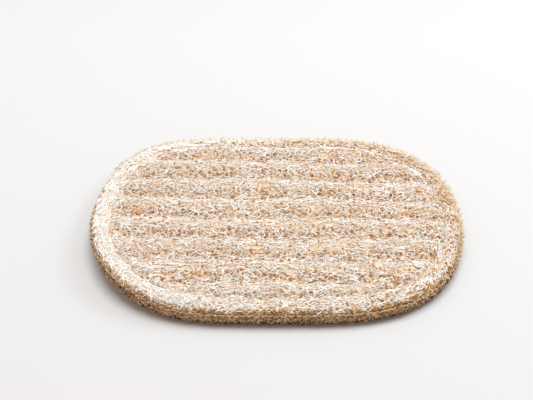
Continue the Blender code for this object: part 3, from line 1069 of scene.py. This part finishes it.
# %% Make the terry body
LAYER_GAP = 0.3 * MM
BODY_LOOP = 300
SOLE_HEIGHT = 1.1 * MM
SOLE_INSET = 3.4 * MM
TERRY_LIGHT, TERRY_DARK = (0.88, 0.65, 0.42), (0.20, 0.085, 0.025)
GOLD_LIGHT, GOLD_DARK = (0.60, 0.36, 0.12), (0.24, 0.11, 0.03)
# Painted light: the pile and fringe behind and at the right are made paler, as if lit from behind.
FRINGE_BACKLIT_PALE = (0.76, 0.60, 0.36)
BODY_LIGHT, BODY_DARK = (0.60, 0.43, 0.26), (0.42, 0.27, 0.14)
BODY_RINGS = ((1.1, 5.8), (0.9, 4.8), (0.9, 3.2), (1.4, 1.9), (2.3, 1.2))


def sole_sheet(count):
    """The flat underside, which follows the curl."""
    sheet = triangulate(loop_at(SOLE_INSET, count), inner_points(3 * MM, 5 * MM))
    return *sheet, lambda x, y: SOLE_HEIGHT + curl(x, y)


def make_terry_body():
    top = (*seam_sheet(BODY_LOOP), lambda x, y: SEAM_HEIGHT - LAYER_GAP + curl(x, y))
    return layer("terry_body", BODY_LOOP, top, BODY_RINGS, sole_sheet(BODY_LOOP))


body = make_terry_body()
body.data.materials.append(cotton_material("terry_body", BODY_LIGHT, BODY_DARK))
set_float(body.data, "tone", [0.5 + 0.5 * noise.noise(v.co * 700) for v in body.data.vertices])
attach(body, "root")
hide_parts("terry_back")
print("body of", len(body.data.polygons), "faces")

# %% [markdown]
# The skirt stops under the loofah's edge along the front and the left end. Behind and on the right the pile
# stands up past the edge, where the photograph shows it as a fringe.

# %% Make the skirt and the sole
SKIRT_LOOP = 260
SKIRT_RINGS = ((2.6, 8.5), (1.7, 8.1), (1.0, 7.5), (0.6, 6.9), (0.5, 6.2), (0.5, 5.2), (0.5, 4.0), (0.7, 2.8),
               (1.3, 1.8), (2.2, 1.3), (3.4, 1.1))
FRONT_PILE_TOP = 6.5 * MM
FRINGE_RISE = 2.2 * MM


def farness(x, y):
    """0 along the front and the left end, and 1 behind the pad and at its right end."""
    return smooth(1.2 * (y / (WIDTH / 2) + 0.45 * x / (LENGTH / 2)) + 0.35)


def pile_top(x, y):
    """How high the pile stands at the side of the pad."""
    return FRONT_PILE_TOP + FRINGE_RISE * farness(x, y) + curl(x, y)


def face_outward(skin):
    """Turns a ring's faces away from the middle of the pad, and marks how far behind the pad they are."""
    verts = skin.data.vertices
    if skin.data.polygons[0].normal.dot(Vector((verts[0].co.x, verts[0].co.y, 0))) < 0:
        skin.data.flip_normals()
    set_float(skin.data, "far", [farness(v.co.x, v.co.y) for v in verts])


def make_skirt():
    skirt = layer("helper_skirt", SKIRT_LOOP, rings=SKIRT_RINGS)
    face_outward(skirt)
    covered = [float(v.co.z < pile_top(v.co.x, v.co.y)) for v in skirt.data.vertices]
    set_float(skirt.data, "cover", covered)
    return skirt


def make_sole():
    sole = layer("helper_sole", SKIRT_LOOP, bottom=sole_sheet(SKIRT_LOOP))
    if sole.data.polygons[0].normal.z > 0:
        sole.data.flip_normals()
    set_float(sole.data, "cover", [1.0] * len(sole.data.vertices))
    return sole


helper_skirt = make_skirt()
helper_sole = make_sole()
helpers += [helper_skirt, helper_sole]
set_float(helper_dome.data, "cover", [1.0] * len(helper_dome.data.vertices))
print("skirt of", len(helper_skirt.data.polygons), "faces")

# %% [markdown]
# Over the seam, golden yarn is wound round the loofah's cut edge. It is the same rule as the loofah's strands, on
# a narrow ring of its own.

# %% Wind the binding
BINDING_RINGS = ((1.5, 8.4), (0.8, 7.9), (0.35, 7.3), (0.25, 6.7))
helper_binding = layer("helper_binding", SKIRT_LOOP, rings=BINDING_RINGS)
face_outward(helper_binding)
set_float(helper_binding.data, "cover", [farness(v.co.x, v.co.y) for v in helper_binding.data.vertices])
helpers.append(helper_binding)
binding = (1.6, -9.0, 99, 1.6, 3.2, 1.0, 0.9, 0.9, 0.0, 0.0, 0.5, 0.34, 5, 89)
values = {"Surface": helper_binding, "Meshes": helper_meshes, **in_metres(STRAND_SIZES, binding)}
finish = cotton_material("edge_binding", GOLD_LIGHT, GOLD_DARK, far=FRINGE_BACKLIT_PALE)
grow("edge_binding", strand_tree, values, finish)

# %% [markdown]
# A pile is a rule too: a small arc of yarn on each of many points, standing along the surface's normal and
# turned at random. With a shorter sweep the same tree gives single hairs.

# %% Build the pile tree
TABLE_CLEARANCE = 0.34 * MM
SPRAWL_SCALE = 500.0
PILE_SIZES = ("Density", "Width", "Height", "Start", "Sweep", "Sprawl", "Thickness", "Points", "Seed")


def make_pile_tree():
    tree, given, result = new_tree("yarn_pile", ("Surface",), PILE_SIZES)
    surface = object_shape(tree, given["Surface"])
    points = sow(tree, given, surface, calc(tree, "GREATER_THAN", named(tree, "cover"), 0.5))
    bow = arc(tree, given["Points"], given["Sweep"], given["Start"])
    wires = {"Geometry": bow, "Rotation": (math.pi / 2, 0, 0)}
    standing = put(tree, "GeometryNodeTransform", wires).outputs[0]
    turn = random_number(tree, 0.0, 2 * math.pi, plus(tree, given["Seed"], 1))
    varied = random_number(tree, 0.65, 1.25, plus(tree, given["Seed"], 2))
    wide = times(tree, given["Width"], times(tree, varied, 0.5))
    yarns = set_on(tree, points, standing, turn, wide, times(tree, given["Height"], varied))
    own = own_shift(tree, plus(tree, given["Seed"], 3))
    bend = scaled(tree, noise_vector(tree, SPRAWL_SCALE, given["Seed"], own), given["Sprawl"])
    yarns = moved(tree, yarns, "Offset", bend)
    pressed = calc_vector(tree, "MAXIMUM", place_of(tree), (-1, -1, TABLE_CLEARANCE))
    yarns = moved(tree, yarns, "Position", pressed)
    finish_tree(tree, given, result, thicken(tree, yarns, given["Thickness"], given["Seed"], taper=0.3))
    return tree


pile_tree = make_pile_tree()
print("made", pile_tree.name)

# %% [markdown]
# The side has small, close loops and the sole wider ones. Single hairs stand out of the side, of the fringe
# behind and of the loofah itself.

# %% Grow the pile and the hairs
LOOP_ARC, HAIR_ARC = (-0.35, 3.84), (-0.1, 1.4)
SIDE_FOOT = 0.35
SOLE_DARK = (0.52, 0.36, 0.20)
HAIR_STAIN = 0.1
PILE_KINDS = (
    # name, surface, and then the numbers in the order of PILE_SIZES
    ("terry_pile_edge", helper_skirt, 1.15, 0.80, 0.65, *LOOP_ARC, 0.8, 0.33, 5, 97),
    ("terry_pile_under", helper_sole, 0.22, 1.5, 0.62, *LOOP_ARC, 0.5, 0.50, 5, 101),
    ("terry_hairs", helper_skirt, 0.30, 1.4, 1.3, *HAIR_ARC, 1.2, 0.18, 5, 103),
    ("fringe_hairs", helper_binding, 0.9, 1.2, 1.6, *HAIR_ARC, 1.3, 0.26, 5, 109),
    ("loofah_hairs", helper_dome, 0.08, 2.4, 1.3, *HAIR_ARC, 1.6, 0.22, 5, 107),
)
for name, surface, *numbers in PILE_KINDS:
    values = {"Surface": surface, **in_metres(PILE_SIZES, numbers)}
    if surface == helper_dome:
        grow(name, pile_tree, values, fibre_material(name, CREAM, HONEY, HAIR_STAIN, 0.0))
    else:
        dark, foot = (SOLE_DARK, 1.0) if surface == helper_sole else (TERRY_DARK, SIDE_FOOT)
        finish = cotton_material(name, TERRY_LIGHT, dark, far=FRINGE_BACKLIT_PALE, foot=foot)
        grow(name, pile_tree, values, finish)

# %% [markdown]
# ## The sewing
#
# One thread whips round the seam between the two layers, and another runs in and out along the valley. Both are
# waves along a line, so one tree makes them: the thread swings out from the line and up and down once a stitch.

# %% Sew the two lines of stitches
STITCH_SIZES = ("Steps", "Stitches", "Swing Out", "Swing Up", "Unevenness", "Thickness", "Seed")
SLACK_SCALE = 260.0


def make_stitch_tree():
    tree, given, result = new_tree("stitching", ("Line",), STITCH_SIZES)
    line = put(tree, "GeometryNodeMeshToCurve", {0: object_shape(tree, given["Line"])}).outputs[0]
    line = put(tree, "GeometryNodeResampleCurve", {"Curve": line, "Count": given["Steps"]}).outputs[0]
    along = put(tree, "GeometryNodeSplineParameter").outputs["Factor"]
    angle = times(tree, times(tree, along, given["Stitches"]), 2 * math.pi)
    tangent = put(tree, "GeometryNodeInputTangent").outputs[0]
    outward = calc_vector(tree, "NORMALIZE", calc_vector(tree, "CROSS_PRODUCT", tangent, (0, 0, 1)))
    out = scaled(tree, outward, times(tree, calc(tree, "COSINE", angle), given["Swing Out"]))
    up = combine(tree, 0.0, 0.0, times(tree, calc(tree, "SINE", angle), given["Swing Up"]))
    loose = scaled(tree, noise_vector(tree, SLACK_SCALE, given["Seed"]), given["Unevenness"])
    offset = calc_vector(tree, "ADD", calc_vector(tree, "ADD", out, up), loose)
    sewn = moved(tree, line, "Offset", offset)
    finish_tree(tree, given, result, thicken(tree, sewn, given["Thickness"], given["Seed"], sides=5))
    return tree


LINE_POINTS = 720
SEAM_LIFT, TOP_SINK = 0.3 * MM, 0.45 * MM


def make_line(name, inset, height):
    places = [(p.x, p.y, height(p.x, p.y)) for p in loop_at(inset, LINE_POINTS)]
    mesh = bpy.data.meshes.new(name)
    mesh.from_pydata(places, [(i, (i + 1) % LINE_POINTS) for i in range(LINE_POINTS)], [])
    return make_object(name, mesh)


stitch_tree = make_stitch_tree()
seam_line = make_line("helper_seam", 0.0, lambda x, y: SEAM_HEIGHT + SEAM_LIFT + curl(x, y))
top_line = make_line("helper_top", BORDER_WIDTH, lambda x, y: sheet_height(x, y, BORDER_WIDTH) - TOP_SINK)
helpers += [seam_line, top_line]
THREAD_LIGHT, THREAD_DARK = (0.82, 0.68, 0.48), (0.66, 0.50, 0.31)
STITCH_KINDS = (
    # name, CAD node, line, and then the numbers in the order of STITCH_SIZES
    ("seam_loops", "seam_thread", seam_line, 1800, 170.0, 0.3, 0.13, 1.0, 0.28, 3),
    ("top_stitches", "top_thread", top_line, 1000, 84.0, 0.0, 0.5, 0.8, 0.40, 5),
)
for name, node, line, *numbers in STITCH_KINDS:
    values = {"Line": line, **in_metres(STITCH_SIZES, numbers)}
    thread = grow(name, stitch_tree, values, cotton_material(name, THREAD_LIGHT, THREAD_DARK))
    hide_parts(node)

# %% [markdown]
# ## The floor
#
# The pad lies on a seamless white table, with a painted shade that darkens it a little towards the viewer. One
# wide square is enough, because its far edge is out of the picture.

# %% Make the floor
FLOOR_DARK, FLOOR_LIGHT = (0.625, 0.63, 0.635, 1), (0.64, 0.645, 0.65, 1)
FLOOR_NEAR_SHADE, NEAR_FROM = (0.56, 0.56, 0.56, 1), (0.16, -0.14)


def make_floor():
    build = bmesh.new()
    bmesh.ops.create_grid(build, x_segments=1, y_segments=1, size=2.5)
    mesh = bpy.data.meshes.new("floor")
    build.to_mesh(mesh)
    build.free()
    material, tree, shader = new_material("floor", 0.85, 0.1)
    place = own_place(tree)
    colour = blend_colours(tree, clouds(tree, place, 3.0, 2.0).outputs["Fac"], FLOOR_DARK, FLOOR_LIGHT)
    # painted shade towards the viewer
    near_shade = spread(tree, one_axis(tree, place, 1), *NEAR_FROM)
    colour = blend_colours(tree, near_shade, colour, FLOOR_NEAR_SHADE)
    tree.links.new(colour, shader.inputs["Base Color"])
    mesh.materials.append(material)
    return make_object("floor", mesh)


floor = make_floor()
print("floor laid")

# %% Finish
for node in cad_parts.values():
    if not node.hide_render:
        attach(node, "root")
for helper in helpers:
    bpy.data.objects.remove(helper)
